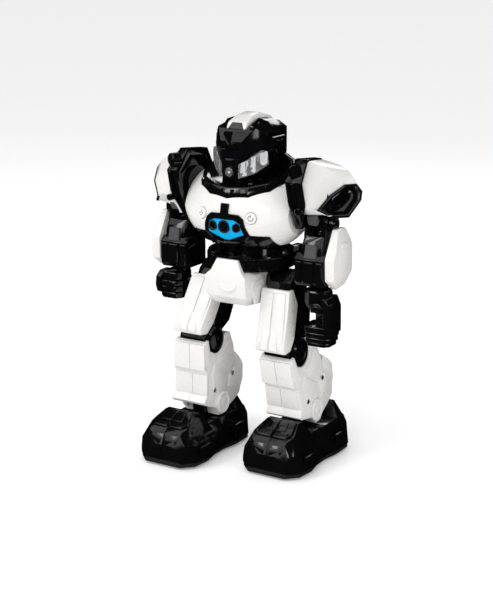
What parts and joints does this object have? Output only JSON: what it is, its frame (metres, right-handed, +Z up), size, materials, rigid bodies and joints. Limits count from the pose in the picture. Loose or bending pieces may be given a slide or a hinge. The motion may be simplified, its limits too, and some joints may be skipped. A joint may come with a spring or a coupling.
{
  "type": "toy robot",
  "caption": "Standing humanoid toy robot in white and black plastic, with a domed helmet, barrel chest, hooded shoulders, walking legs and wheeled feet.",
  "frame": {"origin": "on the floor, under the middle of the bounding box", "axes": "+Z up, the robot faces -Y and its left side is +X"},
  "size_m": [0.1828, 0.1186, 0.276],
  "materials": {
    "white_shell": "satin white moulded plastic",
    "black_shell": "glossy black moulded plastic",
    "blue_panel": "glossy blue sensor window",
    "dark_lens": "dark infrared lens",
    "clear_lens": "clear moulded lens over a reflector",
    "button_white": "fine matt white button",
    "steel": "plated steel",
    "tyre": "soft drive wheel",
    "sole": "matt black sole",
    "inner_part": "circuit board and motor housings",
    "battery": "sleeved battery pack",
    "door_grey": "dark battery door"
  },
  "bodies": {
    "pelvis": {"pelvis_front_cover": "white_shell", "pelvis_rear_cover": "white_shell", "hip_axle": "steel", "waist_ring": "black_shell"},
    "torso": {"chest_shell": "white_shell", "back_shell": "white_shell", "sensor_bezel": "black_shell", "sensor_panel": "blue_panel", "sensor_lenses": "dark_lens", "neck_collar": "black_shell", "waist_turntable": "black_shell", "battery_pack": "battery", "battery_door": "door_grey", "main_board": "inner_part", "speaker": "inner_part", "torso_screws": "steel"},
    "power_button_cap": {"power_button": "button_white"},
    "mode_button_cap": {"mode_button": "button_white"},
    "head": {"helmet_shell": "black_shell", "helmet_crest": "white_shell", "face_mask": "black_shell", "cheek_lenses": "clear_lens", "nose_lamp": "clear_lens", "neck_post": "black_shell"},
    "upper_arm_left": {"shoulder_core_left": "black_shell", "shoulder_frame_left": "black_shell", "shoulder_shell_left": "white_shell", "shoulder_flare_left": "black_shell"},
    "forearm_left": {"forearm_core_left": "black_shell", "forearm_shell_left": "white_shell", "elbow_pin_left": "black_shell"},
    "hand_left_body": {"hand_left": "black_shell"},
    "leg_left": {"thigh_plate_left": "white_shell", "thigh_core_left": "black_shell", "shin_inner_left": "white_shell", "shin_outer_left": "white_shell", "knee_caps_left": "black_shell", "ankle_pin_left": "steel"},
    "foot_left": {"foot_shell_left": "black_shell", "sole_plate_left": "sole", "foot_motor_left": "inner_part"},
    "wheels_left": {"drive_wheels_left": "tyre"},
    "upper_arm_right": {"shoulder_core_right": "black_shell", "shoulder_frame_right": "black_shell", "shoulder_shell_right": "white_shell", "shoulder_flare_right": "black_shell"},
    "forearm_right": {"forearm_core_right": "black_shell", "forearm_shell_right": "white_shell", "elbow_pin_right": "black_shell"},
    "hand_right_body": {"hand_right": "black_shell"},
    "leg_right": {"thigh_plate_right": "white_shell", "thigh_core_right": "black_shell", "shin_inner_right": "white_shell", "shin_outer_right": "white_shell", "knee_caps_right": "black_shell", "ankle_pin_right": "steel"},
    "foot_right": {"foot_shell_right": "black_shell", "sole_plate_right": "sole", "foot_motor_right": "inner_part"},
    "wheels_right": {"drive_wheels_right": "tyre"}
  },
  "joints": [
    {"name": "waist_turn", "type": "hinge", "parent": "pelvis", "child": "torso", "pos_m": [0, 0.012, 0.165], "axis": [0, 0, 1], "range_deg": [-20, 20]},
    {"name": "head_turn", "type": "hinge", "parent": "torso", "child": "head", "pos_m": [0, 0.012, 0.225], "axis": [0, 0, 1], "range_deg": [-25, 25]},
    {"name": "power_button_press", "type": "slide", "parent": "torso", "child": "power_button_cap", "axis": [-0.2725, 0.9505, -0.1495], "range_m": [0, 0.001], "stiffness_N_per_m": 300},
    {"name": "mode_button_press", "type": "slide", "parent": "torso", "child": "mode_button_cap", "axis": [0.2725, 0.9505, -0.1495], "range_m": [0, 0.001], "stiffness_N_per_m": 300},
    {"name": "shoulder_left", "type": "hinge", "parent": "torso", "child": "upper_arm_left", "pos_m": [0.05, 0.006, 0.218], "axis": [-1, 0, 0], "range_deg": [-40, 120]},
    {"name": "elbow_left", "type": "hinge", "parent": "upper_arm_left", "child": "forearm_left", "pos_m": [0.0615, 0.009, 0.196], "axis": [-1, 0, 0], "range_deg": [0, 60]},
    {"name": "wrist_left", "type": "hinge", "parent": "forearm_left", "child": "hand_left_body", "pos_m": [0.062, 0.007, 0.147], "axis": [0, 0, 1], "range_deg": [-30, 30]},
    {"name": "shoulder_right", "type": "hinge", "parent": "torso", "child": "upper_arm_right", "pos_m": [-0.05, 0.006, 0.218], "axis": [-1, 0, 0], "range_deg": [-40, 120]},
    {"name": "elbow_right", "type": "hinge", "parent": "upper_arm_right", "child": "forearm_right", "pos_m": [-0.0615, 0.009, 0.196], "axis": [-1, 0, 0], "range_deg": [0, 60]},
    {"name": "wrist_right", "type": "hinge", "parent": "forearm_right", "child": "hand_right_body", "pos_m": [-0.062, 0.007, 0.147], "axis": [0, 0, 1], "range_deg": [-30, 30]},
    {"name": "hip_right", "type": "hinge", "parent": "pelvis", "child": "leg_right", "pos_m": [-0.03, 0.012, 0.146], "axis": [1, 0, 0], "range_deg": [0, 12.5]},
    {"name": "ankle_right", "type": "hinge", "parent": "leg_right", "child": "foot_right", "pos_m": [-0.038, 0.00043, 0.04033], "axis": [1, 0, 0], "range_deg": [-12.5, 0]},
    {"name": "hip_left", "type": "hinge", "parent": "pelvis", "child": "leg_left", "pos_m": [0.03, 0.012, 0.146], "axis": [1, 0, 0], "range_deg": [-12.5, 0]},
    {"name": "ankle_left", "type": "hinge", "parent": "leg_left", "child": "foot_left", "pos_m": [0.038, 0.02357, 0.04033], "axis": [1, 0, 0], "range_deg": [0, 12.5]},
    {"name": "wheels_right_spin", "type": "hinge", "parent": "foot_right", "child": "wheels_right", "pos_m": [-0.0405, 0.01343, 0.009], "axis": [1, 0, 0], "continuous": true},
    {"name": "wheels_left_spin", "type": "hinge", "parent": "foot_left", "child": "wheels_left", "pos_m": [0.0405, 0.03657, 0.009], "axis": [1, 0, 0], "continuous": true}
  ],
  "couplings": [
    {"joint": "hip_left", "follows": "hip_right", "ratio": -1},
    {"joint": "ankle_right", "follows": "hip_right", "ratio": -1},
    {"joint": "ankle_left", "follows": "hip_right", "ratio": 1}
  ]
}
